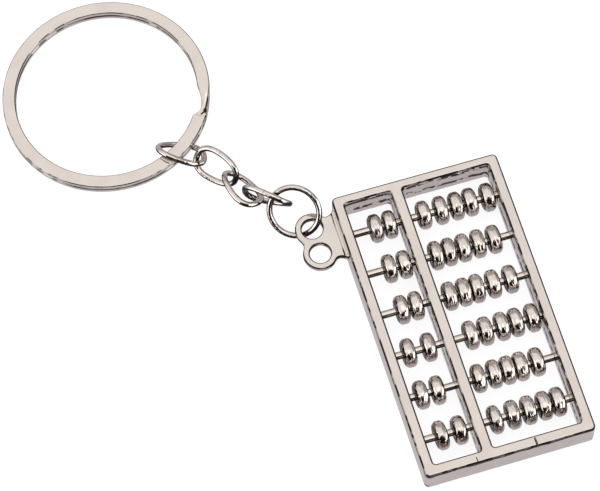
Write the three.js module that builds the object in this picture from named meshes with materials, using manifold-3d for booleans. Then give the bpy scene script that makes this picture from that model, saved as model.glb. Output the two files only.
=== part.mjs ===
// A pocket abacus on a key ring, all of plated metal: a flat cast frame with six rods of
// sliding beads, a tab with two holes at its end, a round jump ring, four links of chain
// and a flat split ring. It lies on its back on the plane Z = 0.
// +X runs along the rods towards the five-bead side, +Y runs towards the tab's end, +Z is up.
// The origin is in the middle of the bar between the two windows, on the back face.
// Lengths are in millimetres.

import * as THREE from 'three';
import { mergeVertices } from 'three/addons/utils/BufferGeometryUtils.js';
import Module from 'manifold-3d';

const wasm = await Module();
wasm.setup();

// The cast frame.
const frameThickness = 4.4;
const narrowWindow = 6.85;      // along the rods, two beads wide
const wideWindow = 12.85;       // along the rods, five beads wide
const sideBar = 1.6;
const middleBar = 1.7;
const farBar = 1.35;            // at the tab's end
const nearBar = 1.6;
const farRoom = 4.04;           // from the far bar to the first rod
const nearRoom = 4.51;          // from the last rod to the near bar
const outerCornerRadius = 0.7;
const windowCornerRadius = 0.4;
const edgeBevel = 0.15;
const cornerSteps = 3;

// Rods and beads.
const rodCount = 6;
const rodPitch = 6.5;
const rodDiameter = 1.1;
const rodFit = 0.05;            // radial room of a rod in the frame's holes
const rodEndRoom = 0.15;        // rod end to the bottom of its blind hole, and to the outer wall
const beadDiameter = 4.25;
const beadThickness = 1.8;
const beadBore = 1.38;
const blindHoleShare = 0.6;     // depth of the blind hole in the side bar
const rimSteps = 4;             // corners of a bead's rounded rim
const roundSides = 14;          // sides of beads, rods and their holes

// Where the beads stand: the free length left of each bead, as a share of all the free length
// on that side of the rod. One row for each rod, the first at the tab's end.
const heavenPlaces = [
  [0.77, 0.86], [0.77, 0.89], [0.69, 0.78], [0.35, 0.70], [0.27, 0.45], [0.50, 0.77],
];
const earthPlaces = [
  [0.28, 0.47, 0.60, 0.68, 0.88],
  [0.21, 0.25, 0.33, 0.43, 0.57],
  [0.19, 0.27, 0.30, 0.45, 0.64],
  [0.43, 0.53, 0.69, 0.76, 0.92],
  [0.18, 0.30, 0.35, 0.38, 0.52],
  [0.25, 0.44, 0.57, 0.69, 0.75],
];

// The tab.
const tabThickness = 1.0;
const tabBelow = 1.4;           // underside above the frame's back
const tabHoleDiameter = 3.0;
const tabLobeWall = 0.95;       // metal round each hole
const tabHoleReach = 3.6;       // hole centres out from the frame
const tabHoleSpacing = 3.93;
const tabFromEnd = 4.83;        // the tab's middle line from the frame's far end
const tabNotchFill = 0.4;       // how far the notch between the lobes is filled out
const tabNeckWidth = 6.5;
const tabNeckReach = 1.15;
const tabRootWidth = 7.9;
const lobeStart = 50;           // degrees, where the neck's curve meets a lobe
const lobeEnd = 215;            // degrees, where a lobe meets the notch
const tabCurveSteps = 7;

// Jump ring, chain and split ring.
const jumpRingRadius = 3.64;    // to the middle of the wire
const jumpRingWire = 0.86;
const jumpRingHeading = 233.8;  // degrees, the way the ring's axis leans
const jumpRingLean = 47.7;      // degrees from upright
const jumpRingTurn = 57.5;      // degrees, the place on the ring that is in the hole
const jumpRingPlace = [-0.035, 0.082, -0.204];    // that place, from the middle of the hole

const linkLength = 7.58;        // outside
const linkWidth = 5.33;         // outside
const linkWire = 0.85;
const linkSquareness = 2.4;     // 2 is an ellipse, more is squarer
const linkTwist = 11.1;         // degrees, each end against the middle
const linkSteps = 28;           // round the loop
const jumpRingSteps = 36;
const wireSides = 8;

// One row for each link from the jump ring on: its centre from the one before, in shares of
// the link's length, and its turns about X, Y and Z in degrees.
const linkPlaces = [
  { step: [-0.3980, 0.4500, -0.0345], turn: [101.40, -6.95, -37.50] },
  { step: [-0.3831, 0.3458, -0.0832], turn: [-34.72, -12.62, -73.97] },
  { step: [-0.3301, 0.5738, 0.0024], turn: [55.34, -4.21, -50.83] },
  { step: [-0.5507, 0.4808, -0.0237], turn: [-34.48, 15.59, -21.71] },
];

const splitRingDiameter = 30.0;
const splitRingBand = 1.84;     // across the flat of the wire
const splitRingWire = 0.79;     // thickness of one turn
const splitRingGap = 0.12;      // between the two turns
const splitRingEdge = 0.16;     // bevel along the wire
const splitRingStep = [-0.5145, 0.8099, -0.0297];  // from the last link, in shares of its radius
const splitRingTilt = [-1.21, -2.75];              // degrees about X and Y
const splitRingStart = -33;     // degrees, the end of the upper turn
const crossingStart = -370;     // degrees, where the upper turn begins to go down
const crossingEnd = -392;       // degrees, where it has become the lower turn
const splitRingEnd = -727;      // degrees, the end of the lower turn
const splitRingSteps = 96;

// What follows from these sizes.
const leftEdge = -middleBar / 2 - narrowWindow - sideBar;
const rightEdge = middleBar / 2 + wideWindow + sideBar;
const rodSpan = (rodCount - 1) * rodPitch;
const frameLength = farBar + farRoom + rodSpan + nearRoom + nearBar;
const farEdge = frameLength / 2;
const nearEdge = -frameLength / 2;
const rodHeight = frameThickness / 2;
const firstRod = farEdge - farBar - farRoom;
const holeX = leftEdge - tabHoleReach;
const tabMiddle = farEdge - tabFromEnd;
const radians = THREE.MathUtils.degToRad;

const steel = { plate: 0xc9c3bf, wire: 0xbdb8b6, bead: 0xb3b0b1, rod: 0xc4bfbd };

function plated(color, roughness) {
  return new THREE.MeshStandardMaterial({ color, roughness, metalness: 1 });
}

const keyring = new THREE.Group();

function addPiece(parent, name, geometry, material) {
  const mesh = new THREE.Mesh(geometry, material);
  mesh.name = name;
  parent.add(mesh);
  return mesh;
}

// Joining and cutting solids.
function toSolid(geometry) {
  const bare = geometry.clone();
  bare.deleteAttribute('normal');
  bare.deleteAttribute('uv');
  const merged = mergeVertices(bare, edgeBevel / 1000);
  return new wasm.Manifold(new wasm.Mesh({
    numProp: 3,
    vertProperties: new Float32Array(merged.attributes.position.array),
    triVerts: new Uint32Array(merged.index.array),
  }));
}

function toGeometry(solid) {
  const mesh = solid.getMesh();
  const geometry = new THREE.BufferGeometry();
  geometry.setAttribute('position', new THREE.BufferAttribute(mesh.vertProperties, 3));
  geometry.setIndex(new THREE.BufferAttribute(mesh.triVerts, 1));
  geometry.computeVertexNormals();
  return geometry;
}

// The frame is a plate with two windows, the tab and the rod holes.
function roundedRectangle(path, x0, y0, x1, y1, radius) {
  path.moveTo(x0 + radius, y0);
  path.lineTo(x1 - radius, y0);
  path.absarc(x1 - radius, y0 + radius, radius, -Math.PI / 2, 0);
  path.lineTo(x1, y1 - radius);
  path.absarc(x1 - radius, y1 - radius, radius, 0, Math.PI / 2);
  path.lineTo(x0 + radius, y1);
  path.absarc(x0 + radius, y1 - radius, radius, Math.PI / 2, Math.PI);
  path.lineTo(x0, y0 + radius);
  path.absarc(x0 + radius, y0 + radius, radius, Math.PI, 1.5 * Math.PI);
  return path;
}

function framePlate() {
  const outline = roundedRectangle(
    new THREE.Shape(), leftEdge, nearEdge, rightEdge, farEdge, outerCornerRadius);
  const windows = [
    [leftEdge + sideBar, -middleBar / 2],
    [middleBar / 2, rightEdge - sideBar],
  ];
  for (const [x0, x1] of windows) {
    outline.holes.push(roundedRectangle(
      new THREE.Path(), x0, nearEdge + nearBar, x1, farEdge - farBar, windowCornerRadius));
  }
  const geometry = new THREE.ExtrudeGeometry(outline, {
    depth: frameThickness - 2 * edgeBevel,
    bevelThickness: edgeBevel,
    bevelSize: edgeBevel,
    bevelOffset: -edgeBevel,
    bevelSegments: 1,
    curveSegments: cornerSteps,
  });
  return geometry.translate(0, 0, edgeBevel);
}

// The tab is two lobes side by side on a neck that flares into the frame. It is drawn with its
// root at X = 0 and reaches half a side bar into the frame.
function tabPlate() {
  const lobeRadius = tabHoleDiameter / 2 + tabLobeWall;
  const lobeY = tabHoleSpacing / 2;
  const notch = tabHoleReach + Math.sqrt(lobeRadius ** 2 - lobeY ** 2) + tabNotchFill;
  const meetX = -tabHoleReach + lobeRadius * Math.cos(radians(lobeStart));
  const outline = new THREE.Shape();
  outline.moveTo(sideBar / 2, -tabRootWidth / 2);
  outline.lineTo(sideBar / 2, tabRootWidth / 2);
  outline.lineTo(0, tabRootWidth / 2);
  outline.quadraticCurveTo(-tabNeckReach / 2, tabNeckWidth / 2, -tabNeckReach, tabNeckWidth / 2);
  outline.quadraticCurveTo(
    (meetX - tabNeckReach) / 2, tabNeckWidth / 2,
    meetX, lobeY + lobeRadius * Math.sin(radians(lobeStart)));
  outline.absarc(-tabHoleReach, lobeY, lobeRadius, radians(lobeStart), radians(lobeEnd));
  outline.lineTo(-notch, 0);
  outline.lineTo(
    -tabHoleReach + lobeRadius * Math.cos(radians(lobeEnd)),
    -lobeY - lobeRadius * Math.sin(radians(lobeEnd)));
  outline.absarc(-tabHoleReach, -lobeY, lobeRadius, radians(-lobeEnd), radians(-lobeStart));
  outline.quadraticCurveTo(
    (meetX - tabNeckReach) / 2, -tabNeckWidth / 2, -tabNeckReach, -tabNeckWidth / 2);
  outline.quadraticCurveTo(-tabNeckReach / 2, -tabNeckWidth / 2, 0, -tabRootWidth / 2);
  for (const y of [-lobeY, lobeY]) {
    const hole = new THREE.Path();
    hole.absarc(-tabHoleReach, y, tabHoleDiameter / 2, 0, 2 * Math.PI, true);
    outline.holes.push(hole);
  }
  const geometry = new THREE.ExtrudeGeometry(outline, {
    depth: tabThickness, bevelEnabled: false, curveSegments: tabCurveSteps,
  });
  return geometry.translate(leftEdge, tabMiddle, tabBelow);
}

// A round bar along X between two places.
function barAlongX(diameter, x0, x1, y) {
  const geometry = new THREE.CylinderGeometry(diameter / 2, diameter / 2, x1 - x0, roundSides);
  geometry.rotateZ(Math.PI / 2);
  return geometry.translate((x0 + x1) / 2, y, rodHeight);
}

const rodStart = leftEdge + sideBar * (1 - blindHoleShare) + rodEndRoom;
const rodEnd = rightEdge - rodEndRoom;

let casting = toSolid(framePlate()).add(toSolid(tabPlate()));
for (let rod = 0; rod < rodCount; rod += 1) {
  const hole = barAlongX(
    rodDiameter + 2 * rodFit, rodStart - rodEndRoom, rightEdge + sideBar,
    firstRod - rod * rodPitch);
  casting = casting.subtract(toSolid(hole));
}
addPiece(keyring, 'frame', toGeometry(casting), plated(steel.plate, 0.16));

// A bead is a flat disc with a fully rounded rim and a round bore, turned about its own axis.
function beadGeometry() {
  const half = beadThickness / 2;
  const rimCentre = beadDiameter / 2 - half;
  const profile = [new THREE.Vector2(beadBore / 2, -half)];
  for (let step = 0; step <= rimSteps; step += 1) {
    const angle = Math.PI * (step / rimSteps - 0.5);
    profile.push(new THREE.Vector2(
      rimCentre + half * Math.cos(angle), half * Math.sin(angle)));
  }
  profile.push(new THREE.Vector2(beadBore / 2, half));
  profile.push(new THREE.Vector2(beadBore / 2, -half));
  return new THREE.LatheGeometry(profile, roundSides).rotateZ(Math.PI / 2);
}

function addBeads(kind, rod, y, x0, x1, places) {
  const free = x1 - x0 - places.length * beadThickness;
  places.forEach((share, count) => {
    const name = `${kind}_bead_${rod + 1}${'abcde'[count]}`;
    const bead = addPiece(keyring, name, beadGeometry(), plated(steel.bead, 0.12));
    bead.position.set(x0 + share * free + (count + 0.5) * beadThickness, y, rodHeight);
  });
}

for (let rod = 0; rod < rodCount; rod += 1) {
  const y = firstRod - rod * rodPitch;
  const bar = barAlongX(rodDiameter, rodStart, rodEnd, y);
  addPiece(keyring, `rod_${rod + 1}`, bar, plated(steel.rod, 0.2));
  addBeads('heaven', rod, y, leftEdge + sideBar, -middleBar / 2, heavenPlaces[rod]);
  addBeads('earth', rod, y, middleBar / 2, rightEdge - sideBar, earthPlaces[rod]);
}

// The jump ring stands through the tab's upper hole and leans on the lobe.
const ringInHole = new THREE.Group();
ringInHole.position.set(
  holeX, tabMiddle + tabHoleSpacing / 2, tabBelow + tabThickness / 2);
ringInHole.position.add(new THREE.Vector3(...jumpRingPlace));
ringInHole.rotation.set(0, radians(jumpRingLean), radians(jumpRingHeading), 'ZYX');
keyring.add(ringInHole);
const jumpRing = addPiece(
  ringInHole, 'jump_ring',
  new THREE.TorusGeometry(jumpRingRadius, jumpRingWire / 2, wireSides, jumpRingSteps),
  plated(steel.wire, 0.14));
jumpRing.position.set(
  -jumpRingRadius * Math.cos(radians(jumpRingTurn)),
  -jumpRingRadius * Math.sin(radians(jumpRingTurn)), 0);

// A link is one wire bent into a long loop, its ends twisted a little.
class LinkLine extends THREE.Curve {
  getPoint(share, target = new THREE.Vector3()) {
    const angle = 2 * Math.PI * share;
    const round = (value) => Math.sign(value) * Math.abs(value) ** (2 / linkSquareness);
    const along = round(Math.cos(angle));
    const across = round(Math.sin(angle)) * (linkWidth - linkWire) / 2;
    const twist = radians(linkTwist) * along;
    return target.set(
      along * (linkLength - linkWire) / 2, across * Math.cos(twist), across * Math.sin(twist));
  }
}

// The corners of a torus, moved so that its wire follows a closed curve.
function closedWire(curve, diameter, sides, steps) {
  const geometry = new THREE.TorusGeometry(linkLength, diameter / 2, sides, steps);
  const frames = curve.computeFrenetFrames(steps, true);
  const corners = geometry.attributes.position;
  const corner = new THREE.Vector3();
  for (let side = 0; side <= sides; side += 1) {
    const angle = 2 * Math.PI * side / sides;
    for (let step = 0; step <= steps; step += 1) {
      const place = step % steps;
      curve.getPointAt(place / steps, corner);
      corner.addScaledVector(frames.normals[place], Math.cos(angle) * diameter / 2);
      corner.addScaledVector(frames.binormals[place], -Math.sin(angle) * diameter / 2);
      corners.setXYZ(side * (steps + 1) + step, corner.x, corner.y, corner.z);
    }
  }
  geometry.computeVertexNormals();
  return geometry;
}

keyring.updateMatrixWorld(true);
const place = jumpRing.getWorldPosition(new THREE.Vector3());
linkPlaces.forEach(({ step, turn }, count) => {
  place.addScaledVector(new THREE.Vector3(...step), linkLength);
  const link = addPiece(
    keyring, `chain_link_${count + 1}`,
    closedWire(new LinkLine(), linkWire, wireSides, linkSteps), plated(steel.wire, 0.18));
  link.position.copy(place);
  link.rotation.set(...turn.map(radians), 'ZYX');
});

// The split ring is a flat wire wound almost twice round.
// It is wound down from the open end of the upper turn. The wire crosses from the upper to the
// lower turn over a short stretch, and the lower turn ends below the start of that crossing.
function splitRingGeometry() {
  const halfBand = splitRingBand / 2;
  const halfWire = splitRingWire / 2;
  const section = new THREE.Shape();
  section.moveTo(-halfBand + splitRingEdge, -halfWire);
  section.lineTo(halfBand - splitRingEdge, -halfWire);
  section.lineTo(halfBand, -halfWire + splitRingEdge);
  section.lineTo(halfBand, halfWire - splitRingEdge);
  section.lineTo(halfBand - splitRingEdge, halfWire);
  section.lineTo(-halfBand + splitRingEdge, halfWire);
  section.lineTo(-halfBand, halfWire - splitRingEdge);
  section.lineTo(-halfBand, -halfWire + splitRingEdge);
  const geometry = new THREE.ExtrudeGeometry(section, {
    depth: splitRingDiameter, steps: splitRingSteps, bevelEnabled: false,
  });
  const corners = geometry.attributes.position;
  for (let index = 0; index < corners.count; index += 1) {
    const share = corners.getZ(index) / splitRingDiameter;
    const turn = THREE.MathUtils.lerp(splitRingStart, splitRingEnd, share);
    const up = THREE.MathUtils.smoothstep(turn, crossingEnd, crossingStart) - 0.5;
    const radius = splitRingDiameter / 2 - halfBand + corners.getX(index);
    corners.setXYZ(
      index, radius * Math.cos(radians(turn)), radius * Math.sin(radians(turn)),
      corners.getY(index) + up * (splitRingWire + splitRingGap));
  }
  geometry.computeVertexNormals();
  return geometry;
}

const splitRing = addPiece(keyring, 'split_ring', splitRingGeometry(), plated(steel.wire, 0.15));
place.addScaledVector(new THREE.Vector3(...splitRingStep), splitRingDiameter / 2);
splitRing.position.copy(place);
splitRing.rotation.set(...splitRingTilt.map(radians), 0, 'ZYX');

export default keyring;
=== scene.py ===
# %% [markdown]
# # A plated abacus on a key ring
# The object is small and all metal: a cast frame with six rods of sliding beads, a tab with
# two holes, a round jump ring, four links of chain and a flat split ring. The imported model
# gives every piece its exact place. This notebook gives the pieces their fine shape and their
# plating, and sets up the camera and the light. Lengths are written in millimetres and angles
# in degrees, and both are converted where Blender needs metres and radians.

import math
import random

import bmesh
import bpy
from mathutils import Matrix, Vector


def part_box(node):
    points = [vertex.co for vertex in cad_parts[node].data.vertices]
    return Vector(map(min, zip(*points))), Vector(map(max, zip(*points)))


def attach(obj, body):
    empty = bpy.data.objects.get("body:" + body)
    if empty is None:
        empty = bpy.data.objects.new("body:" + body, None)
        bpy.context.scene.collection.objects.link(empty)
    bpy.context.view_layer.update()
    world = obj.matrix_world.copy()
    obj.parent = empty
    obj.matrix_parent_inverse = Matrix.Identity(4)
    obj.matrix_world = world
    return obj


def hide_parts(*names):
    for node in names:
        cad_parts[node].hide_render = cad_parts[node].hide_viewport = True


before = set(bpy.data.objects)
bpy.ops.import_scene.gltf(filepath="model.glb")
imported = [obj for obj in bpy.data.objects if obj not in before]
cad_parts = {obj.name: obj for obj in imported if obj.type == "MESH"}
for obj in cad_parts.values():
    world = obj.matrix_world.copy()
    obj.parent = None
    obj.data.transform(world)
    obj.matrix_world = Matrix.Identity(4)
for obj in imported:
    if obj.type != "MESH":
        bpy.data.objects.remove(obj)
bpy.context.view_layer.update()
MM = 0.001

# %% [markdown]
# ## The camera
# The photograph is a close view from high up, taken with a long lens from about half a metre.
# A long lens keeps the frame's sides nearly parallel. The camera is written by its place and
# by the two directions that it looks along and holds upwards.

# %% Camera
CAMERA_PLACE = Vector((-73.647, -173.213, 442.214)) * MM
LOOK = Vector((0.12083, 0.39428, -0.91101)).normalized()
IMAGE_UP = Vector((0.26693, 0.87103, 0.41238)).normalized()
LENS = 205.31
SENSOR = 36.0


def make_camera():
    data = bpy.data.cameras.new("view")
    data.lens = LENS
    data.sensor_width = SENSOR
    data.clip_start = 0.01
    camera = bpy.data.objects.new("view", data)
    right = LOOK.cross(IMAGE_UP)
    turn = Matrix((right, IMAGE_UP, -LOOK)).transposed()
    camera.matrix_world = Matrix.Translation(CAMERA_PLACE) @ turn.to_4x4()
    bpy.context.scene.collection.objects.link(camera)
    bpy.context.scene.camera = camera
    return camera


make_camera()
bpy.context.scene.view_settings.view_transform = "Standard"
print("camera height", round(CAMERA_PLACE.z, 3))

# %% [markdown]
# ## Shader maths as Python
# A mask such as "near the middle of the wall, but only where the casting is rough" takes a
# dozen Math nodes when it is clicked together. A small class that wraps a socket lets the
# same mask be written as a line of Python, and each operator adds its node.


# %% A socket that takes part in Python maths
class Signal:
    def __init__(self, tree, socket=None):
        self.tree = tree
        self.socket = socket

    def node(self, kind, settings=None, sockets=None, out=0):
        """Adds a node: first its settings, then the values or links of its sockets."""
        made = self.tree.nodes.new(kind)
        for name, value in (settings or {}).items():
            if name == "stops":
                fill_ramp(made.color_ramp, value)
            else:
                setattr(made, name, value)
        for key, value in (sockets or {}).items():
            if isinstance(value, Signal):
                self.tree.links.new(value.socket, made.inputs[key])
            else:
                made.inputs[key].default_value = value
        return Signal(self.tree, made.outputs[out]) if made.outputs else None

    def maths(self, operation, first, second):
        return self.node("ShaderNodeMath", {"operation": operation}, {0: first, 1: second})

    def __add__(self, other):
        return self.maths("ADD", self, other)

    def __sub__(self, other):
        return self.maths("SUBTRACT", self, other)

    def __mul__(self, other):
        return self.maths("MULTIPLY", self, other)

    def __rsub__(self, other):
        return self.maths("SUBTRACT", other, self)

    __radd__ = __add__
    __rmul__ = __mul__

    def __abs__(self):
        return self.node("ShaderNodeMath", {"operation": "ABSOLUTE"}, {0: self})

    def between(self, low, high, start=0.0, end=1.0):
        """Rises smoothly from start to end while the signal goes from low to high."""
        return self.node(
            "ShaderNodeMapRange", {"interpolation_type": "SMOOTHSTEP"},
            {"Value": self, "From Min": low, "From Max": high, "To Min": start, "To Max": end})


def fill_ramp(ramp, stops):
    while len(ramp.elements) < len(stops):
        ramp.elements.new(1.0)
    for element, (place, colour) in zip(ramp.elements, stops):
        element.position = place
        element.color = colour


def blend_colours(signal, factor, first, second):
    return signal.node(
        "ShaderNodeMix", {"data_type": "RGBA"}, {0: factor, 6: first, 7: second}, out=2)


print("a signal knows", "+ - * abs between")

# %% [markdown]
# ## The room
# Polished metal has hardly a colour of its own: it shows the room. The photograph was taken
# in a white tent that is light on the left and greyer behind and on the right. The crisp dark
# streaks on every round piece come from the tent's opening and from the camera above it, and
# the white ones from a window on each side of the opening. A bright patch high over the camera
# gives the round pieces their white core. The world is built the same way, from a ramp by
# height and round patches around directions, where a later patch lies over an earlier one. Only
# what the metal reflects sees these. The floor and the background see plain white.

# %% World
WHITE = (1.0, 1.0, 1.0, 1.0)
# the tent's colour by height, from 0 straight below over 0.5 at the level of the object to 1
TENT = [
    (0.00, (0.60, 0.565, 0.59, 1.0)),
    (0.08, (0.58, 0.545, 0.56, 1.0)),
    (0.20, (0.30, 0.27, 0.255, 1.0)),
    (0.44, (0.28, 0.25, 0.235, 1.0)),
    (0.53, (0.78, 0.75, 0.73, 1.0)),
    (0.75, (0.88, 0.85, 0.83, 1.0)),
    (0.91, (0.94, 0.91, 0.88, 1.0)),
]
# each patch: azimuth and height of its middle, inner and outer radius, colour
PATCHES = [
    (25.0, 10.0, 34.0, 62.0, (0.35, 0.325, 0.31, 1.0)),
    (90.0, 0.0, 24.0, 50.0, (0.42, 0.39, 0.375, 1.0)),
    (275.0, 25.0, 26.0, 50.0, (0.36, 0.325, 0.305, 1.0)),
    (322.0, 10.0, 33.0, 39.0, (1.80, 1.76, 1.72, 1.0)),
    (190.0, 2.0, 22.0, 30.0, (1.80, 1.76, 1.72, 1.0)),
    (262.0, 46.0, 12.0, 26.0, (0.14, 0.125, 0.115, 1.0)),
    (274.0, 74.0, 13.0, 19.0, (1.35, 1.30, 1.25, 1.0)),
    (240.0, -12.0, 24.0, 29.0, (0.008, 0.006, 0.005, 1.0)),
    (247.0, 17.0, 32.0, 37.0, (0.008, 0.006, 0.005, 1.0)),
]


def heading(azimuth, height):
    azimuth, height = math.radians(azimuth), math.radians(height)
    return (
        math.cos(azimuth) * math.cos(height), math.sin(azimuth) * math.cos(height),
        math.sin(height))


def make_world():
    world = bpy.data.worlds.new("white_tent")
    bpy.context.scene.world = world
    world.use_nodes = True
    world.node_tree.nodes.clear()
    start = Signal(world.node_tree)
    direction = start.node("ShaderNodeTexCoord", out="Generated")
    height = start.node("ShaderNodeSeparateXYZ", None, {"Vector": direction}, out="Z")
    tent = start.node("ShaderNodeValToRGB", {"stops": TENT}, {"Fac": height * 0.5 + 0.5})
    for azimuth, lift, inner, outer, colour in PATCHES:
        nearness = start.node(
            "ShaderNodeVectorMath", {"operation": "DOT_PRODUCT"},
            {0: direction, 1: heading(azimuth, lift)}, out="Value")
        low, high = math.cos(math.radians(outer)), math.cos(math.radians(inner))
        tent = blend_colours(start, nearness.between(low, high), tent, colour)
    mirrored = start.node("ShaderNodeLightPath", out="Is Glossy Ray")
    seen = blend_colours(start, mirrored, WHITE, tent)
    light = start.node("ShaderNodeBackground", None, {"Color": seen, "Strength": 1.0})
    start.node("ShaderNodeOutputWorld", None, {"Surface": light})


make_world()
print("world", bpy.context.scene.world.name, "patches", len(PATCHES))

# %% [markdown]
# One soft lamp behind the object gives a gentle direction to the shadows. It is large for so
# small an object, so the shadows stay faint. The room already holds every highlight that the
# metal should show, so the lamp itself isn't mirrored.

# %% Lamp
LAMP_PLACE = Vector((-220.0, 230.0, 270.0)) * MM
LAMP_SIZE = 0.16
LAMP_POWER = 0.10


def make_lamp():
    data = bpy.data.lights.new("soft_lamp", "AREA")
    data.shape = "SQUARE"
    data.size = LAMP_SIZE
    data.energy = LAMP_POWER
    lamp = bpy.data.objects.new("soft_lamp", data)
    lamp.location = LAMP_PLACE
    lamp.rotation_euler = (-LAMP_PLACE).to_track_quat("-Z", "Y").to_euler()
    lamp.visible_glossy = False
    bpy.context.scene.collection.objects.link(lamp)


make_lamp()
print("lamp size", LAMP_SIZE)

# %% [markdown]
# ## The floor
# The object lies on white paper that is lit up to pure white. The floor is a pale diffuse
# plane. What the camera sees of it is lifted to white, so that only the deepest part of the
# shadows stays grey. The metal sees it darker, and more than half of it is clear to the metal,
# because in the photograph the patches of the room go on below the level of the table.

# %% Floor
FLOOR_HALF = 3.0
FLOOR_DROP = 0.02 * MM
PAPER = (0.30, 0.292, 0.30, 1.0)
MAUVE = (1.0, 0.965, 1.0, 1.0)
SEEN_LIFT = 0.86
MIRRORED_LIFT = 0.34
MIRRORED_CLEAR = 0.6


def make_floor():
    mesh = bpy.data.meshes.new("paper")
    bm = bmesh.new()
    bmesh.ops.create_grid(bm, x_segments=1, y_segments=1, size=FLOOR_HALF)
    bm.to_mesh(mesh)
    bm.free()
    floor = bpy.data.objects.new("paper", mesh)
    floor.location.z = -FLOOR_DROP
    bpy.context.scene.collection.objects.link(floor)
    paper = bpy.data.materials.new("white_paper")
    paper.use_nodes = True
    paper.node_tree.nodes.clear()
    start = Signal(paper.node_tree)
    matt = start.node("ShaderNodeBsdfDiffuse", None, {"Color": PAPER})
    seen = start.node("ShaderNodeLightPath", out="Is Camera Ray")
    mirrored = start.node("ShaderNodeLightPath", out="Is Glossy Ray")
    lift = seen * SEEN_LIFT + mirrored * MIRRORED_LIFT
    cast = blend_colours(start, mirrored, WHITE, MAUVE)
    glow = start.node("ShaderNodeEmission", None, {"Color": cast, "Strength": lift})
    both = start.node("ShaderNodeAddShader", None, {0: matt, 1: glow})
    clear = start.node("ShaderNodeBsdfTransparent")
    sheet = start.node(
        "ShaderNodeMixShader", None, {0: mirrored * MIRRORED_CLEAR, 1: both, 2: clear})
    start.node("ShaderNodeOutputMaterial", None, {"Surface": sheet})
    mesh.materials.append(paper)


make_floor()
print("floor", 2 * FLOOR_HALF, "m wide")

# %% [markdown]
# ## Plating
# All the metal is one bright plating over different work. The casting keeps a slightly wavy
# polish, and the beads a deeper one that flows round them. Drawn wire is smoother, with fine
# lines along it. So one function makes every finish, and its arguments say how wavy and how lined
# it is. Dullness is one signal, from bright metal to dark and rough. It holds the mould's seam
# and the painted shade on rims, sides, flanks and hollows, and each kind of dark place has a
# short function that gives its share of it. All of them read noise, the place on the piece and
# the way that a face looks.

# %% Noise and axes
EVEN = (1.0, 1.0, 1.0)
ALONG_X = (0.06, 1.0, 1.0)
ALONG_Y = (1.0, 0.3, 1.0)
ROUND_THE_ROD = (1.8, 0.75, 0.75)


def noise(place, scale, detail=2.0, stretch=EVEN):
    moved = place.node("ShaderNodeMapping", None, {"Vector": place, "Scale": stretch})
    return place.node(
        "ShaderNodeTexNoise", None, {"Vector": moved, "Scale": scale, "Detail": detail})


def component(vector, axis):
    return vector.node("ShaderNodeSeparateXYZ", None, {"Vector": vector}, out=axis)


print("stretches", ALONG_X, ALONG_Y, ROUND_THE_ROD)

# %% [markdown]
# The two halves of the mould met at half the frame's thickness and left a dull broken seam. Under
# the upper rim, inside and outside the windows, a thin dark line is painted shade, the dark
# reflection that runs along the rims. Each line is a band around a height. Noise lets it wander
# and breaks it, and it shows on upright walls alone. The tab's walls are darkened in patches, as
# painted shade under the raised tab.

# %% Mould seams and painted rim shade
WINDOWS_MIDDLE = (3.0, 0.125)
WINDOWS_HALF = (11.0, 20.8)
WINDOWS_BLUR = 0.1
WALL_LEANS = (0.2, 0.5)
SEAM_HEIGHT = 1.65
SEAM_CORE, SEAM_DARKNESS = 0.6, 1.2
WOBBLE, WOBBLE_SCALE = 0.5, 450.0
GAP_SCALE, GAP_SCALE_CHANGE = 900.0, 90.0
GAP_START, GAP_BLUR = 0.6, 0.1
# each line: height, half width, how broken from 0 to 1, and whether it is in the windows; the
# first is the mould seam, the other two are painted shade under the rim
SEAM_AND_SHADE_LINES = [(SEAM_HEIGHT, 0.46, 0.72, True), (3.75, 0.44, 0.66, True), (4.05, 0.30, 0.50, False)]
TAB_ROOT = (-9.8, -9.5)
TAB_SHADE_SCALE, TAB_SHADE_PATCHES, TAB_SHADE_DARKNESS = 420.0, (0.40, 0.50), (0.15, 0.95)


def on_walls(lean):
    return lean.between(*WALL_LEANS, 1.0, 0.0)


# the mould seam, and painted shade lines just under the upper rim
def seams_and_rim_shade(place, lean, seam_and_shade_lines):
    inside = 1.0
    for axis, middle, half in zip("XY", WINDOWS_MIDDLE, WINDOWS_HALF):
        off = abs(component(place, axis) - middle * MM)
        low, high = half - WINDOWS_BLUR, half + WINDOWS_BLUR
        inside = inside * off.between(low * MM, high * MM, 1.0, 0.0)
    z = component(place, "Z")
    dull_and_shade = 0.0
    for level, half, broken, in_windows in seam_and_shade_lines:
        wobble = noise(place, WOBBLE_SCALE) * (2 * WOBBLE * MM)
        off = abs(z + wobble - (level + WOBBLE) * MM)
        line = off.between(SEAM_CORE * half * MM, half * MM, SEAM_DARKNESS, 0.0)
        start = GAP_START * broken
        gaps = noise(place, GAP_SCALE + GAP_SCALE_CHANGE * level).between(start, start + GAP_BLUR)
        where = inside if in_windows else 1.0 - inside
        dull_and_shade = dull_and_shade + line * gaps * on_walls(lean) * where
    return dull_and_shade


# painted shade: the tab's upright walls are darkened in patches, as under the raised tab
def tab_wall_shade(place, lean):
    on_tab = component(place, "X").between(TAB_ROOT[0] * MM, TAB_ROOT[1] * MM, 1.0, 0.0)
    patches = noise(place, TAB_SHADE_SCALE).between(*TAB_SHADE_PATCHES, *TAB_SHADE_DARKNESS)
    return on_tab * on_walls(lean) * patches


print("seam_and_shade_lines", len(SEAM_AND_SHADE_LINES))

# %% [markdown]
# The rounded rims of the casting, the flat sides of the beads that face their neighbours and the
# steep flanks of round wire, rods and beads are darkened as painted shade, for the dark
# reflections and shade that polished metal shows there. The way that a face looks tells which is
# which. A hollow too small for the mesh is a dark oval of painted shade, seen from above, that is
# given by its place.

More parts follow.
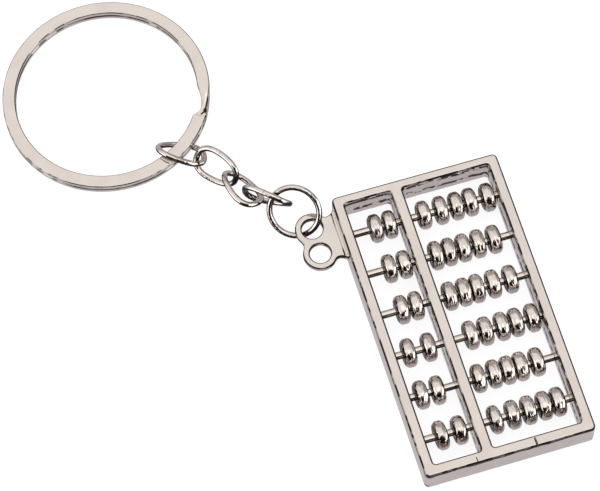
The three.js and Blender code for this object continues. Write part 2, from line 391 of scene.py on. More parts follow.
# %% Painted shade on rims, sides, flanks and hollows
RIM_LEANS, TOP_LEANS = (0.06, 0.16), (0.88, 0.98)
RIM_SHADE_SCALE, RIM_SHADE_PATCHES, RIM_SHADE_LEAST = 500.0, (0.42, 0.54), 0.25
FAR_RIMS = (0.0, 0.3)
SIDE_LEANS = (0.86, 0.96)
OVAL_CORE, OVAL_HEIGHT = 0.6, 100.0


def rim_shade(place, facing, lean):
    """Painted shade on the rims: those that face away from the near left corner are dark all
    along, the others in noise patches.
    """
    rim = lean.between(*RIM_LEANS) * lean.between(*TOP_LEANS, 1.0, 0.0)
    patchy = noise(place, RIM_SHADE_SCALE).between(*RIM_SHADE_PATCHES, RIM_SHADE_LEAST, 1.0)
    facing_away = (component(facing, "X") + component(facing, "Y")).between(*FAR_RIMS)
    return rim * (patchy + facing_away)


# painted shade between the beads: the flat sides that face a neighbour are darkened
def bead_side_shade(facing):
    return abs(component(facing, "X")).between(*SIDE_LEANS)


# painted shade and painted dark reflection on the steep flanks of round pieces
def painted_flank_shade(lean, darkness, steep, flat):
    return lean.between(steep, flat, darkness, 0.0)


# painted shade in the hollows where the split ring's wire steps down
def hollow_shade_ovals(place, ovals):
    """An oval is so tall that the height of a place hardly counts."""
    dull_and_shade = 0.0
    for (middle_x, middle_y), turn, length, width in ovals:
        oval = place.node("ShaderNodeMapping", {"vector_type": "TEXTURE"}, {
            "Vector": place, "Location": (middle_x * MM, middle_y * MM, 0.0),
            "Rotation": (0.0, 0.0, math.radians(turn)), "Scale": (length, width, OVAL_HEIGHT)})
        off = place.node(
            "ShaderNodeVectorMath", {"operation": "LENGTH"}, {0: oval}, out="Value")
        dull_and_shade = dull_and_shade + off.between(OVAL_CORE * MM, MM, 1.0, 0.0)
    return dull_and_shade


# each hollow of painted shade: middle, heading, half length and half width
CROSS_HOLLOW_SHADE = [
    ((-21.62, 42.40), 61.0, 1.25, 0.15), ((-22.12, 41.50), 61.0, 0.50, 0.32),
    ((-22.60, 41.22), 25.0, 0.40, 0.17), ((-23.18, 40.66), -33.0, 0.85, 0.12),
    ((-22.38, 40.55), 61.0, 0.30, 0.13)]
print("hollow_shade", len(CROSS_HOLLOW_SHADE))

# %% [markdown]
# The finish itself mixes bright nickel with a dark colour by that dullness, which holds the
# mould's seam and the painted shade, and the same dullness roughens it. A Bump node turns the
# waves and the fine lines into a leaning surface, which is far cheaper than modelling them.

# %% Plating finish
NICKEL = (0.82, 0.765, 0.72, 1.0)
NICKEL_DUSK = (0.70, 0.645, 0.62, 1.0)
# dark colour of the mould's seam and of all painted shade
TARNISH_AND_SHADE = (0.03, 0.022, 0.019, 1.0)
CLOUD_SCALE, CLOUD_EDGES, CLOUD_TINT = 330.0, (0.35, 0.7), 0.35
LINE_SCALE, LINE_DETAIL, LINE_TINT = 2600.0, 3.0, 0.2
SEAM_DEPTH, LINE_SHARE = 0.01, 0.04
DULL_ROUGHNESS, LINE_ROUGHNESS = 0.25, 0.05


def plating(
        name, roughness, wave, length, grain=EVEN, flow=EVEN, seam_and_shade_lines=(), rims=0.0, sides=0.0,
        flank_shade=(), hollow_shade=()):
    """wave is the depth of the polish's waves and length their size. grain stretches the fine
    lines along an axis, and flow the waves. The list of lines holds the mould's seam and the
    painted shade lines under the rim, and the hollows are ovals of painted shade. rims and sides
    say how dark the painted shade on those places is. The flank shade is the darkness of the
    painted shade on the flanks and the two leans between which it ends, from 0 for upright to 1
    for flat."""
    finish = bpy.data.materials.new(name)
    finish.use_nodes = True
    finish.node_tree.nodes.clear()
    start = Signal(finish.node_tree)
    place = start.node("ShaderNodeTexCoord", out="Object")
    facing = start.node("ShaderNodeTexCoord", out="Normal")
    lean = abs(component(facing, "Z"))
    cloud = noise(place, CLOUD_SCALE).between(*CLOUD_EDGES)
    lines = noise(place, LINE_SCALE, LINE_DETAIL, grain)
    dusk = cloud * CLOUD_TINT + lines * LINE_TINT
    tint = blend_colours(start, dusk, NICKEL, NICKEL_DUSK)
    waves = noise(place, 1.0 / (length * MM), stretch=flow)
    height = waves * wave + lines * (LINE_SHARE * wave)
    dull_and_shade = 0.0
    if seam_and_shade_lines:
        dull_and_shade = seams_and_rim_shade(place, lean, seam_and_shade_lines)
        height = height - dull_and_shade * SEAM_DEPTH
        dull_and_shade = dull_and_shade + tab_wall_shade(place, lean)
    if rims:
        dull_and_shade = dull_and_shade + rim_shade(place, facing, lean) * rims
    if sides:
        dull_and_shade = dull_and_shade + bead_side_shade(facing) * sides
    if flank_shade:
        dull_and_shade = dull_and_shade + painted_flank_shade(lean, *flank_shade)
    if hollow_shade:
        dull_and_shade = dull_and_shade + hollow_shade_ovals(place, hollow_shade)
    bump = start.node(
        "ShaderNodeBump", None, {"Height": height, "Strength": 1.0, "Distance": MM})
    metal = start.node("ShaderNodeBsdfPrincipled", None, {
        "Base Color": blend_colours(start, dull_and_shade, tint, TARNISH_AND_SHADE), "Metallic": 1.0,
        "Roughness": lines * LINE_ROUGHNESS + dull_and_shade * DULL_ROUGHNESS + roughness,
        "Normal": bump})
    start.node("ShaderNodeOutputMaterial", None, {"Surface": metal})
    return finish


# %% [markdown]
# Each kind of work gets its own values. The casting's lines follow its length, the beads'
# waves flow round the rod, and a rod's lines run along it. The split ring is rolled flat and
# even, and is wavier only where the wire was pinched.

# %% The six finishes
# rims, sides and flanks set how dark each finish's painted shade is
cast_plating = plating(
    "cast_plating", 0.08, 0.050, 1.6, grain=ALONG_Y, seam_and_shade_lines=SEAM_AND_SHADE_LINES, rims=1.3)
bead_plating = plating(
    "bead_plating", 0.04, 0.170, 1.2, flow=ROUND_THE_ROD, sides=0.9, flank_shade=(0.16, 0.05, 0.30))
rod_plating = plating(
    "rod_plating", 0.03, 0.030, 1.5, grain=ALONG_X, flank_shade=(0.95, 0.40, 0.74))
wire_plating = plating("wire_plating", 0.04, 0.150, 1.3, flank_shade=(1.00, 0.42, 0.60))
band_plating = plating(
    "band_plating", 0.10, 0.003, 4.0, rims=0.9, hollow_shade=CROSS_HOLLOW_SHADE)
pinch_plating = plating("pinch_plating", 0.08, 0.030, 1.2, hollow_shade=CROSS_HOLLOW_SHADE)
print("finishes", [name for name in bpy.data.materials.keys() if "plating" in name])

# %% [markdown]
# ## Helpers for the pieces
# Every piece is built in a bmesh, and its place is in its mesh, so its object stays at the
# origin. A helper turns the bmesh into an object, gives it its finish, says which body it moves
# with and hides the plain solid that it stands for.

# %% From a bmesh to a finished piece
SHARP = math.radians(32.0)


def add_piece(bm, name, body, node, slot, *finishes):
    """The weighted normals keep the flat faces flat next to their rounded rims."""
    mesh = bpy.data.meshes.new(name)
    bm.to_mesh(mesh)
    bm.free()
    for finish in finishes:
        mesh.materials.append(finish)
    mesh.shade_smooth()
    mesh.set_sharp_from_angle(angle=SHARP)
    piece = bpy.data.objects.new(name, mesh)
    bpy.context.scene.collection.objects.link(piece)
    piece.modifiers.new("flat_faces", "WEIGHTED_NORMAL").keep_sharp = True
    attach(piece, body)
    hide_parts(node)
    return piece


def tidy_normals(bm):
    bmesh.ops.remove_doubles(bm, verts=bm.verts[:], dist=1e-7)
    bmesh.ops.recalc_face_normals(bm, faces=bm.faces[:])


def soften(bm, edges, offset, segments):
    bmesh.ops.bevel(
        bm, geom=edges, offset=offset * MM, affect="EDGES", segments=segments, profile=0.5,
        material=-1)


print("edges over", round(math.degrees(SHARP)), "degrees stay sharp")

# %% [markdown]
# ## The cast frame
# The casting is a flat plate with two windows. Each wall leans back a little from the seam,
# so that the mould halves can part. The plate starts as a flat grid whose lines are moved to
# the edges of the bars. The windows' faces are deleted, an extrusion makes it thick, and a
# level cut marks the seam. Then the upper and lower rims are drawn in by the lean, and the
# upright edges are rounded with bevels. Plating builds up on edges and polishing wears them, so
# the rims are rounded too. This is done before anything is cut into the plate, because a bevel
# runs cleanly only along long whole edges.

# %% Plate
BAR_X = [-9.3, -7.7, -0.85, 0.85, 13.7, 15.3]
BAR_Y = [-22.0, -20.4, 20.65, 22.0]
FRAME_HEIGHT = 4.4
SMALLEST_WINDOW = 200.0
WALL_LEAN = 0.02
OUTER_CORNER, WINDOW_CORNER, CORNER_STEPS = 0.7, 0.42, 5
RIM_BEVEL, RIM_STEPS, RIM_TURN = 0.30, 3, 50.0
CLOSE, TALL = 0.01, 1.0


def upright_edges(bm, corner_x, corner_y):
    found = []
    for edge in bm.edges:
        first, second = (vert.co / MM for vert in edge.verts)
        upright = abs(first.z - second.z) > TALL
        at_x = any(abs(first.x - x) < CLOSE for x in corner_x)
        at_y = any(abs(first.y - y) < CLOSE for y in corner_y)
        if upright and at_x and at_y:
            found.append(edge)
    return found


def lean_back(co):
    """Narrows every bar at its upper and lower rims."""
    for lines, axis in ((BAR_X, 0), (BAR_Y, 1)):
        nearest = min(range(len(lines)), key=lambda i: abs(lines[i] * MM - co[axis]))
        co[axis] += WALL_LEAN * MM * (1 if nearest % 2 == 0 else -1)


def frame_plate():
    bm = bmesh.new()
    columns, rows = len(BAR_X) - 1, len(BAR_Y) - 1
    bmesh.ops.create_grid(bm, x_segments=columns, y_segments=rows, size=1.0)
    for vert in bm.verts:
        column = round((vert.co.x + 1) / 2 * columns)
        row = round((vert.co.y + 1) / 2 * rows)
        vert.co = Vector((BAR_X[column], BAR_Y[row], 0.0)) * MM
    windows = [face for face in bm.faces if face.calc_area() > SMALLEST_WINDOW * MM * MM]
    bmesh.ops.delete(bm, geom=windows, context="FACES")
    made = bmesh.ops.extrude_face_region(bm, geom=bm.faces[:])["geom"]
    verts = [item for item in made if isinstance(item, bmesh.types.BMVert)]
    bmesh.ops.translate(bm, vec=(0, 0, FRAME_HEIGHT * MM), verts=verts)
    bmesh.ops.bisect_plane(
        bm, geom=bm.verts[:] + bm.edges[:] + bm.faces[:],
        plane_co=(0, 0, SEAM_HEIGHT * MM), plane_no=(0, 0, 1))
    tidy_normals(bm)
    return bm


def round_plate(bm):
    """The edges are found before the lean moves them."""
    outer = upright_edges(bm, (BAR_X[0], BAR_X[-1]), (BAR_Y[0], BAR_Y[-1]))
    inner = upright_edges(bm, BAR_X[1:-1], BAR_Y[1:-1])
    for vert in bm.verts:
        if abs(vert.co.z / MM - SEAM_HEIGHT) > TALL:
            lean_back(vert.co)
    soften(bm, outer, OUTER_CORNER, CORNER_STEPS)
    soften(bm, inner, WINDOW_CORNER, CORNER_STEPS)
    rims = [
        edge for edge in bm.edges
        if len(edge.link_faces) == 2
        and math.degrees(edge.calc_face_angle(0.0)) > RIM_TURN]
    soften(bm, rims, RIM_BEVEL, RIM_STEPS)
    return len(rims)


plate = frame_plate()
print("rims rounded", round_plate(plate), "plate faces", len(plate.faces))

# %% [markdown]
# The tab is a flat shape of its own with two round lobes, a waist and two holes. A flat curve
# is filled between its outline and its holes and made thick, its own bevel rounds its rims,
# and then it is a mesh.

# %% Tab
TAB_LOW, TAB_HIGH = 1.4, 2.4
TAB_MIDDLE = 17.17
TAB_OVERLAP = 0.8
HOLE_REACH, HOLE_SPACING, HOLE_RADIUS, HOLE_STEPS = 3.6, 3.93, 1.5, 60
LOBE_RADIUS, LOBE_STEPS = 2.45, 30
LOBE_START, LOBE_END = 50.0, 215.0
NECK_REACH, NECK_HALF, ROOT_HALF = 1.15, 3.25, 3.95
NOTCH_FILL = 0.4
TAB_BEVEL = 0.24


def arc(centre_x, centre_y, radius, start, end, steps):
    for step in range(steps + 1):
        angle = math.radians(start + (end - start) * step / steps)
        yield (centre_x + radius * math.cos(angle), centre_y + radius * math.sin(angle))


def sweep(start, pull, end, steps=8):
    """A smooth turn from start to end that is pulled towards a third place."""
    for step in range(1, steps):
        share = step / steps
        yield tuple(
            (1 - share) ** 2 * a + 2 * share * (1 - share) * b + share ** 2 * c
            for a, b, c in zip(start, pull, end))


def tab_half():
    """From the middle of the side bar round the far lobe to the notch, y from the middle."""
    lobe_y = HOLE_SPACING / 2
    lobe = list(arc(-HOLE_REACH, lobe_y, LOBE_RADIUS, LOBE_START, LOBE_END, LOBE_STEPS))
    neck = (-NECK_REACH, NECK_HALF)
    root = (0.0, ROOT_HALF)
    points = [(TAB_OVERLAP, ROOT_HALF), root]
    points += list(sweep(root, (-NECK_REACH / 2, NECK_HALF), neck)) + [neck]
    points += list(sweep(neck, ((lobe[0][0] - NECK_REACH) / 2, NECK_HALF), lobe[0])) + lobe
    notch = HOLE_REACH + math.sqrt(LOBE_RADIUS ** 2 - lobe_y ** 2) + NOTCH_FILL
    return points + [(-notch, 0.0)]


def tab_outlines():
    half = tab_half()
    yield half + [(x, -y) for x, y in reversed(half[:-1])]
    for hole_y in (-HOLE_SPACING / 2, HOLE_SPACING / 2):
        last = 360.0 - 360.0 / HOLE_STEPS
        yield list(arc(-HOLE_REACH, hole_y, HOLE_RADIUS, 0.0, last, HOLE_STEPS - 1))


print("points of the outlines", [len(outline) for outline in tab_outlines()])

# %% [markdown]
# A curve's mesh is taken from an object that shows it, so the same few lines serve the tab here
# and the links later: show the curve, take its mesh and remove it again.

# %% The tab as a mesh
def curve_mesh(data):
    shown = bpy.data.objects.new(data.name, data)
    bpy.context.scene.collection.objects.link(shown)
    bpy.context.view_layer.update()
    mesh = bpy.data.meshes.new_from_object(
        shown.evaluated_get(bpy.context.evaluated_depsgraph_get()))
    bpy.data.objects.remove(shown)
    return mesh


def placed(mesh, place):
    """A bmesh of a mesh in millimetres, in its place in the frame."""
    bm = bmesh.new()
    bm.from_mesh(mesh)
    bmesh.ops.transform(bm, matrix=place @ Matrix.Scale(MM, 4), verts=bm.verts[:])
    tidy_normals(bm)
    return bm


def tab_plate():
    data = bpy.data.curves.new("tab", "CURVE")
    data.dimensions = "2D"
    data.fill_mode = "BOTH"
    data.extrude = (TAB_HIGH - TAB_LOW) / 2 - TAB_BEVEL
    data.bevel_depth = TAB_BEVEL
    data.offset = -TAB_BEVEL
    data.bevel_resolution = 3
    for outline in tab_outlines():
        spline = data.splines.new("POLY")
        spline.points.add(len(outline) - 1)
        spline.use_cyclic_u = True
        for point, (x, y) in zip(spline.points, outline):
            point.co = (x, y, 0.0, 1.0)
    middle = Vector((BAR_X[0], TAB_MIDDLE, (TAB_LOW + TAB_HIGH) / 2)) * MM
    return placed(curve_mesh(data), Matrix.Translation(middle))


tab = tab_plate()
print("tab faces", len(tab.faces))

# %% [markdown]
# Union and difference are the natural tools where shapes run into each other, as the tab does
# into the side bar, or where a round hole goes through a wall, as the rods' holes do.
# Blender's Boolean modifier does both, and it is applied at once, so that the next shape can
# be joined or cut.

# %% Joining the tab
def as_object(bm, name):
    mesh = bpy.data.meshes.new(name)
    bm.to_mesh(mesh)
    bm.free()
    item = bpy.data.objects.new(name, mesh)
    bpy.context.scene.collection.objects.link(item)
    return item


def combine(item, tool, operation):
    """Applies one Boolean to item and removes the tool."""
    modifier = item.modifiers.new("combine", "BOOLEAN")
    modifier.operation = operation
    modifier.solver = "EXACT"
    modifier.object = tool
    bpy.context.view_layer.update()
    shaped = bpy.data.meshes.new_from_object(
        item.evaluated_get(bpy.context.evaluated_depsgraph_get()))
    item.modifiers.clear()
    item.data = shaped
    bpy.data.objects.remove(tool)


casting = as_object(plate, "casting_work")
combine(casting, as_object(tab, "tab"), "UNION")
print("casting faces with tab", len(casting.data.polygons))

# %% [markdown]
# A low ridge strengthens the tab's root, close against the side bar. It is the top of a round
# bar that lies mostly inside the tab.

# %% Ridge
BAR_SIDES = 40
RIDGE_RADIUS, RIDGE_RISE, RIDGE_REACH, RIDGE_HALF = 0.5, 0.16, 0.12, 3.35


def round_bar(radius, start, end, sides=BAR_SIDES):
    """A round bar between two places, all in millimetres."""
    bm = bmesh.new()
    along = (Vector(end) - Vector(start)) * MM
    turn = along.to_track_quat("Z", "Y").to_matrix().to_4x4()
    middle = Matrix.Translation((Vector(start) + Vector(end)) / 2 * MM)
    bmesh.ops.create_cone(
        bm, cap_ends=True, segments=sides, radius1=radius * MM, radius2=radius * MM,
        depth=along.length, matrix=middle @ turn)
    return bm


ridge_x = BAR_X[0] - RIDGE_REACH
ridge_z = TAB_HIGH + RIDGE_RISE - RIDGE_RADIUS
ridge = round_bar(
    RIDGE_RADIUS, (ridge_x, TAB_MIDDLE - RIDGE_HALF, ridge_z),
    (ridge_x, TAB_MIDDLE + RIDGE_HALF, ridge_z))
combine(casting, as_object(ridge, "ridge"), "UNION")
print("casting faces with ridge", len(casting.data.polygons))

# %% [markdown]
# The rods' holes come in from the long side of the frame and stop inside the bar on the
# tab's side. Two nicks in the near bar, left by the gate of the mould, are cut the same way.

# %% Rod holes and nicks
ROD_COUNT = 6
HOLE_FIT, HOLE_END, HOLE_MOUTH = 0.05, 0.15, 17.0


def rod_box(number):
    """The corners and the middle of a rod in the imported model, in millimetres."""
    low, high = (Vector(corner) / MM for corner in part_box(f"rod_{number}"))
    return low, high, (low + high) / 2


for number in range(1, ROD_COUNT + 1):
    low, high, middle = rod_box(number)
    hole = round_bar(
        (high.z - low.z) / 2 + HOLE_FIT, (low.x - HOLE_END, middle.y, middle.z),
        (HOLE_MOUTH, middle.y, middle.z))
    combine(casting, as_object(hole, "rod_hole"), "DIFFERENCE")
# both ends of each nick and its radius
NICKS = [((6.7, -20.75), (6.72, -22.2), 0.15), ((-1.85, -21.1), (-1.80, -22.2), 0.08)]
NICK_SIDES = 8
NICK_LIFT, NICK_DROP = 0.03, 0.05
for (x0, y0), (x1, y1), radius in NICKS:
    nick = round_bar(
        radius, (x0, y0, FRAME_HEIGHT + NICK_LIFT), (x1, y1, FRAME_HEIGHT - NICK_DROP),
        NICK_SIDES)
    combine(casting, as_object(nick, "nick"), "DIFFERENCE")
print("casting faces with holes", len(casting.data.polygons))

# %% [markdown]
# The cuts leave short edges and thin faces behind. Merging the doubles and dissolving what
# lies flat clears them away before the frame becomes a finished piece.

# %% The frame as one piece
bm = bmesh.new()
bm.from_mesh(casting.data)
bpy.data.objects.remove(casting)
bmesh.ops.remove_doubles(bm, verts=bm.verts[:], dist=1e-6)
bmesh.ops.dissolve_limit(
    bm, angle_limit=math.radians(1.0), verts=bm.verts[:], edges=bm.edges[:])
print("frame faces", len(bm.faces))
add_piece(bm, "abacus_frame", "abacus", "frame", "casting", cast_plating)

# %% [markdown]
# ## Rods
# A rod is a plain drawn wire, so a round bar with softened ends is its whole shape. Its ends
# are seen only in the holes of the frame's long side.

# %% Rods
ROD_END, ROD_END_STEPS = 0.08, 2


def goes_round(edge):
    """True for an edge that runs round a rod and not along it."""
    return abs(edge.verts[0].co.x - edge.verts[1].co.x) < 1e-6


for number in range(1, ROD_COUNT + 1):
    low, high, middle = rod_box(number)
    bm = round_bar(
        (high.z - low.z) / 2, (low.x, middle.y, middle.z), (high.x, middle.y, middle.z))
    soften(bm, [edge for edge in bm.edges if goes_round(edge)], ROD_END, ROD_END_STEPS)
    add_piece(bm, f"steel_rod_{number}", "abacus", f"rod_{number}", "rod", rod_plating)
print("rods", ROD_COUNT)

# %% [markdown]
# ## Beads
# A bead is a thick washer with well rounded corners. Four corners make its section, spinning
# them round the rod makes the washer, and wide bevels round it. Its side is crowned a little,
# as tumbling leaves it.

# %% The shape of a bead
BEAD_HALF, BEAD_RADIUS, BORE_RADIUS = 0.9, 2.125, 0.69
BEAD_CORNER, BEAD_CORNER_STEPS = 0.62, 7
BORE_CORNER, BORE_CORNER_STEPS = 0.16, 3
BEAD_CROWN = 0.05
BEAD_STEPS = 48


def hoops(bm, radius):
    return [
        edge for edge in bm.edges if goes_round(edge)
        and all(abs(vert.co.yz.length / MM - radius) < CLOSE for vert in edge.verts)]


def bead_shape(size, half):
    bm = bmesh.new()
    radius = BEAD_RADIUS * size
    corners = [(-half, BORE_RADIUS), (-half, radius), (half, radius), (half, BORE_RADIUS)]
    verts = [bm.verts.new((x * MM, 0, reach * MM)) for x, reach in corners]
    for first, second in zip(verts, verts[1:] + verts[:1]):
        bm.edges.new((first, second))
    bmesh.ops.spin(
        bm, geom=bm.verts[:] + bm.edges[:], cent=(0, 0, 0), axis=(1, 0, 0), dvec=(0, 0, 0),
        angle=2 * math.pi, steps=BEAD_STEPS, use_merge=True, use_normal_flip=False,
        use_duplicate=False)
    tidy_normals(bm)
    soften(bm, hoops(bm, radius), BEAD_CORNER, BEAD_CORNER_STEPS)
    soften(bm, hoops(bm, BORE_RADIUS), BORE_CORNER, BORE_CORNER_STEPS)
    for vert in bm.verts:
        vert.co.yz *= 1.0 - BEAD_CROWN * (vert.co.x / (half * MM)) ** 2
    return bm


print("bead across", 2 * BEAD_RADIUS, "mm")

# %% [markdown]
# Cheap plated beads are never quite alike, so each is a hair smaller than the plain solid,
# turned on its rod and tipped. Three stand out in the photograph, and their tips are given. A
# tipped bead is thinner by what its tip takes up, so that it still slides up to its neighbours.
# The random numbers have a fixed start, so each run makes the same beads.

# %% Beads on the rods
BEAD_SIZES = (0.975, 0.998)
MOST_TIP, MOST_SWAY = 0.9, 0.6
TIPPED = {"heaven_bead_6a": 2.0, "earth_bead_6a": 3.2, "earth_bead_4a": 1.6}


def centre_of(node):
    low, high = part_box(node)
    return (Vector(low) + Vector(high)) / 2


chance = random.Random(7)
bead_nodes = sorted(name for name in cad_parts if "_bead_" in name)
for node in bead_nodes:
    size = chance.uniform(*BEAD_SIZES)
    tip = math.radians(TIPPED.get(node, chance.uniform(-MOST_TIP, MOST_TIP)))
    sway = math.radians(chance.uniform(-MOST_SWAY, MOST_SWAY))
    slimming = (BEAD_RADIUS - BEAD_CORNER) * math.hypot(tip, sway)
    bm = bead_shape(size, BEAD_HALF - slimming)
    place = (
        Matrix.Translation(centre_of(node)) @ Matrix.Rotation(tip, 4, "Z")
        @ Matrix.Rotation(sway, 4, "Y")
        @ Matrix.Rotation(chance.uniform(0, 2 * math.pi), 4, "X"))
    bmesh.ops.transform(bm, matrix=place, verts=bm.verts[:])
    add_piece(bm, "plated_" + node, node, node, "bead", bead_plating)
print("beads", len(bead_nodes))

# %% [markdown]
# ## Jump ring
# A jump ring is cut from a coil of round wire, so it is a circle with a hairline slit. The
# wire's section is spun almost all the way round, and both ends are capped. The ring leans
# through the hole, so the finished circle is turned into its place.

# %% Jump ring
JUMP_CENTRE = Vector((-14.634, 22.092, 3.143)) * MM
JUMP_RADIUS, JUMP_WIRE = 3.64, 0.86
JUMP_HEADING, JUMP_LEAN = 233.8, 47.7
JUMP_SLIT, SLIT_WIDTH = 152.0, 0.05
JUMP_STEPS, WIRE_SIDES = 90, 20


def open_hoop(radius, wire, gap):
    """A ring of round wire about Z with a slit at +X."""
    bm = bmesh.new()
    slit = gap / radius
    upright = Matrix.Translation((radius * MM, 0, 0)) @ Matrix.Rotation(math.pi / 2, 4, "X")
    bmesh.ops.create_circle(
        bm, cap_ends=True, segments=WIRE_SIDES, radius=wire / 2 * MM,
        matrix=Matrix.Rotation(slit / 2, 4, "Z") @ upright)
    bmesh.ops.spin(
        bm, geom=bm.verts[:] + bm.edges[:] + bm.faces[:], cent=(0, 0, 0), axis=(0, 0, 1),
        dvec=(0, 0, 0), angle=2 * math.pi - slit, steps=JUMP_STEPS, use_merge=False,
        use_normal_flip=False, use_duplicate=False)
    tidy_normals(bm)
    return bm


bm = open_hoop(JUMP_RADIUS, JUMP_WIRE, SLIT_WIDTH)
place = (
    Matrix.Translation(JUMP_CENTRE) @ Matrix.Rotation(math.radians(JUMP_HEADING), 4, "Z")
    @ Matrix.Rotation(math.radians(JUMP_LEAN), 4, "Y")
    @ Matrix.Rotation(math.radians(JUMP_SLIT), 4, "Z"))
bmesh.ops.transform(bm, matrix=place, verts=bm.verts[:])
add_piece(bm, "round_jump_ring", "jump_ring", "jump_ring", "wire", wire_plating)
print("jump ring outside", 2 * JUMP_RADIUS + JUMP_WIRE, "mm")

# %% [markdown]
# ## Chain
# Each link is one piece of round wire bent into a long loop whose two ends are twisted a
# little against each other, as in a twisted cable chain. Its slit is in the middle of a long
# side. A curve is the natural tool for bent wire: a poly spline follows the middle of the
# wire, and its bevel depth is the wire's radius. The loop is a circle pulled square and long.

# %% The shape of a link
LINK_LENGTH, LINK_WIDTH, LINK_WIRE = 7.58, 5.33, 0.85
LINK_SQUARENESS = 2.4
LINK_TWIST = math.radians(11.1)
LINK_POINTS = 120
LINK_SLIT = 0.02


def link_point(angle):
    def rounded(value):
        return math.copysign(abs(value) ** (2 / LINK_SQUARENESS), value)
    along = rounded(math.cos(angle))
    across = rounded(math.sin(angle)) * (LINK_WIDTH - LINK_WIRE) / 2
    twist = LINK_TWIST * along
    return Vector((
        along * (LINK_LENGTH - LINK_WIRE) / 2,
        across * math.cos(twist), across * math.sin(twist)))


def link_mesh():
    data = bpy.data.curves.new("link_line", "CURVE")
    data.dimensions = "3D"
    data.bevel_depth = LINK_WIRE / 2
    data.bevel_resolution = 6
    data.use_fill_caps = True
    spline = data.splines.new("POLY")
    spline.points.add(LINK_POINTS - 1)
    slit = LINK_SLIT / LINK_LENGTH
    for index, point in enumerate(spline.points):
        share = index / (LINK_POINTS - 1)
        angle = math.pi / 2 + slit + share * (2 * math.pi - 2 * slit)
        point.co = (*link_point(angle), 1.0)
    return curve_mesh(data)


wire_mesh = link_mesh()
print("link faces", len(wire_mesh.polygons))

# %% [markdown]
# The four links are the same mesh, laid as the photograph shows them, each turned on its side
# against the one before so that their wires pass through each other.

# %% Links in their places
# centre, and turns about X, Y and Z, from the jump ring on
LINKS = [
    ((-17.651, 25.503, 2.881), (101.40, -6.95, -37.50)),
    ((-20.555, 28.124, 2.250), (-34.72, -12.62, -73.97)),
    ((-23.057, 32.474, 2.269), (55.34, -4.21, -50.83)),
    ((-27.232, 36.118, 2.089), (-34.48, 15.59, -21.71)),
]
for number, (centre, turns) in enumerate(LINKS, start=1):
    turn = Matrix.Identity(4)
    for axis, degrees in zip("ZYX", reversed(turns)):
        turn = turn @ Matrix.Rotation(math.radians(degrees), 4, axis)
    bm = placed(wire_mesh, Matrix.Translation(Vector(centre) * MM) @ turn)
    node = f"chain_link_{number}"
    add_piece(bm, f"twisted_link_{number}", node, node, "wire", wire_plating)
print("links", len(LINKS))

# %% [markdown]
# ## Split ring
# The ring is one flat wire wound nearly twice round and pressed shut. A rounded section is
# spun in three runs: the upper turn, the short crossing where the wire steps down, and the
# lower turn. In the crossing each small spin also moves the section down a little, first
# slowly, then faster, then slowly again.

# %% Winding the flat wire
RING_RADIUS = 14.985
BAND, BAND_WIRE, TURN_GAP = 1.84, 0.79, 0.12
BAND_EDGE = 0.16
RING_START, CROSS_START, CROSS_END, RING_END = -33.0, -370.0, -392.0, -727.0
TURN_STEPS, CROSS_STEPS = 110, 18


def band_section():
    bm = bmesh.new()
    bmesh.ops.create_grid(bm, x_segments=1, y_segments=1, size=0.5)
    section = Matrix.Diagonal((BAND * MM, BAND_WIRE * MM, 1.0, 1.0))
    bmesh.ops.transform(bm, matrix=section, verts=bm.verts[:])
    bmesh.ops.bevel(
        bm, geom=bm.verts[:], offset=BAND_EDGE * MM, affect="VERTICES", segments=4,
        profile=0.5, material=-1)
    middle = ((RING_RADIUS - BAND / 2) * MM, 0, (BAND_WIRE + TURN_GAP) / 2 * MM)
    place = (
        Matrix.Rotation(math.radians(RING_START), 4, "Z") @ Matrix.Translation(middle)
        @ Matrix.Rotation(math.pi / 2, 4, "X"))
    bmesh.ops.transform(bm, matrix=place, verts=bm.verts[:])
    return bm


def wind(bm, last, degrees, steps, drop=0.0):
    made = bmesh.ops.spin(
        bm, geom=last, cent=(0, 0, 0), axis=(0, 0, 1), dvec=(0, 0, -drop * MM / steps),
        angle=math.radians(degrees), steps=steps, use_merge=False, use_normal_flip=False,
        use_duplicate=False)
    return made["geom_last"]


def ease(share):
    return share * share * (3 - 2 * share)


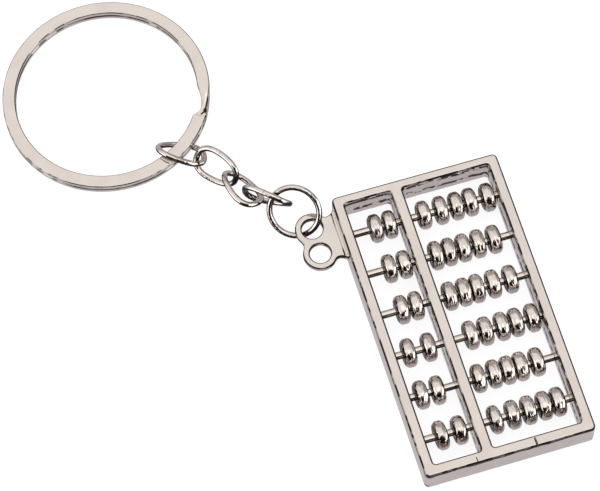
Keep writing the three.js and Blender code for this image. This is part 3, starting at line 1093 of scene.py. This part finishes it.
bm = band_section()
last = bm.verts[:] + bm.edges[:] + bm.faces[:]
last = wind(bm, last, CROSS_START - RING_START, TURN_STEPS)
for step in range(CROSS_STEPS):
    fall = ease((step + 1) / CROSS_STEPS) - ease(step / CROSS_STEPS)
    last = wind(
        bm, last, (CROSS_END - CROSS_START) / CROSS_STEPS, 1, fall * (BAND_WIRE + TURN_GAP))
wind(bm, last, RING_END - CROSS_END, TURN_STEPS)
tidy_normals(bm)
print("ring faces", len(bm.faces))

# %% [markdown]
# The wire is pinched in the crossing: its inner side is pressed outwards, and the top of its
# outer side slants inwards. Each vertex there is pushed along its own radius, by how far
# inside and how high on the wire it sits. The crossing's outer wall gets a wavier finish of its
# own.

# %% Pinching the crossing
RING_CENTRE = Vector((-34.950, 48.267, 1.643)) * MM
RING_TILT = (-1.21, -2.75)
CROSS_NARROWING, CROSS_SLANT = 0.66, 0.42
PINCH_GROWS, PINCH_ENDS = 0.62, 0.24
OUTER_SKIN = 0.03


def wound_angle(co):
    return math.degrees(math.atan2(co.y, co.x)) - 360.0


def pinch_push(co, share):
    """How far a vertex at a share of the crossing is pushed outwards, in millimetres."""
    inside = (RING_RADIUS * MM - co.xy.length) / (BAND * MM)
    fall = (BAND_WIRE + TURN_GAP) * (0.5 - ease(share)) * MM
    upper = 0.5 + (co.z - fall) / (BAND_WIRE * MM)
    depth = ease(min(share / PINCH_GROWS, 1.0)) * ease(min((1.0 - share) / PINCH_ENDS, 1.0))
    return (CROSS_NARROWING * inside - CROSS_SLANT * (1.0 - inside) * upper) * depth


for face in bm.faces:
    middle = face.calc_center_median()
    on_outer_wall = middle.xy.length > (RING_RADIUS - OUTER_SKIN) * MM
    face.material_index = int(on_outer_wall and CROSS_END < wound_angle(middle) < CROSS_START)
for vert in bm.verts:
    share = (wound_angle(vert.co) - CROSS_START) / (CROSS_END - CROSS_START)
    if 0.0 < share < 1.0:
        radius = vert.co.xy.length
        vert.co.xy *= (radius + pinch_push(vert.co, share) * MM) / radius
place = (
    Matrix.Translation(RING_CENTRE) @ Matrix.Rotation(math.radians(RING_TILT[1]), 4, "Y")
    @ Matrix.Rotation(math.radians(RING_TILT[0]), 4, "X"))
bmesh.ops.transform(bm, matrix=place, verts=bm.verts[:])
add_piece(
    bm, "flat_split_ring", "split_ring", "split_ring", "flat_wire", band_plating, pinch_plating)
print("split ring outside", 2 * RING_RADIUS, "mm")
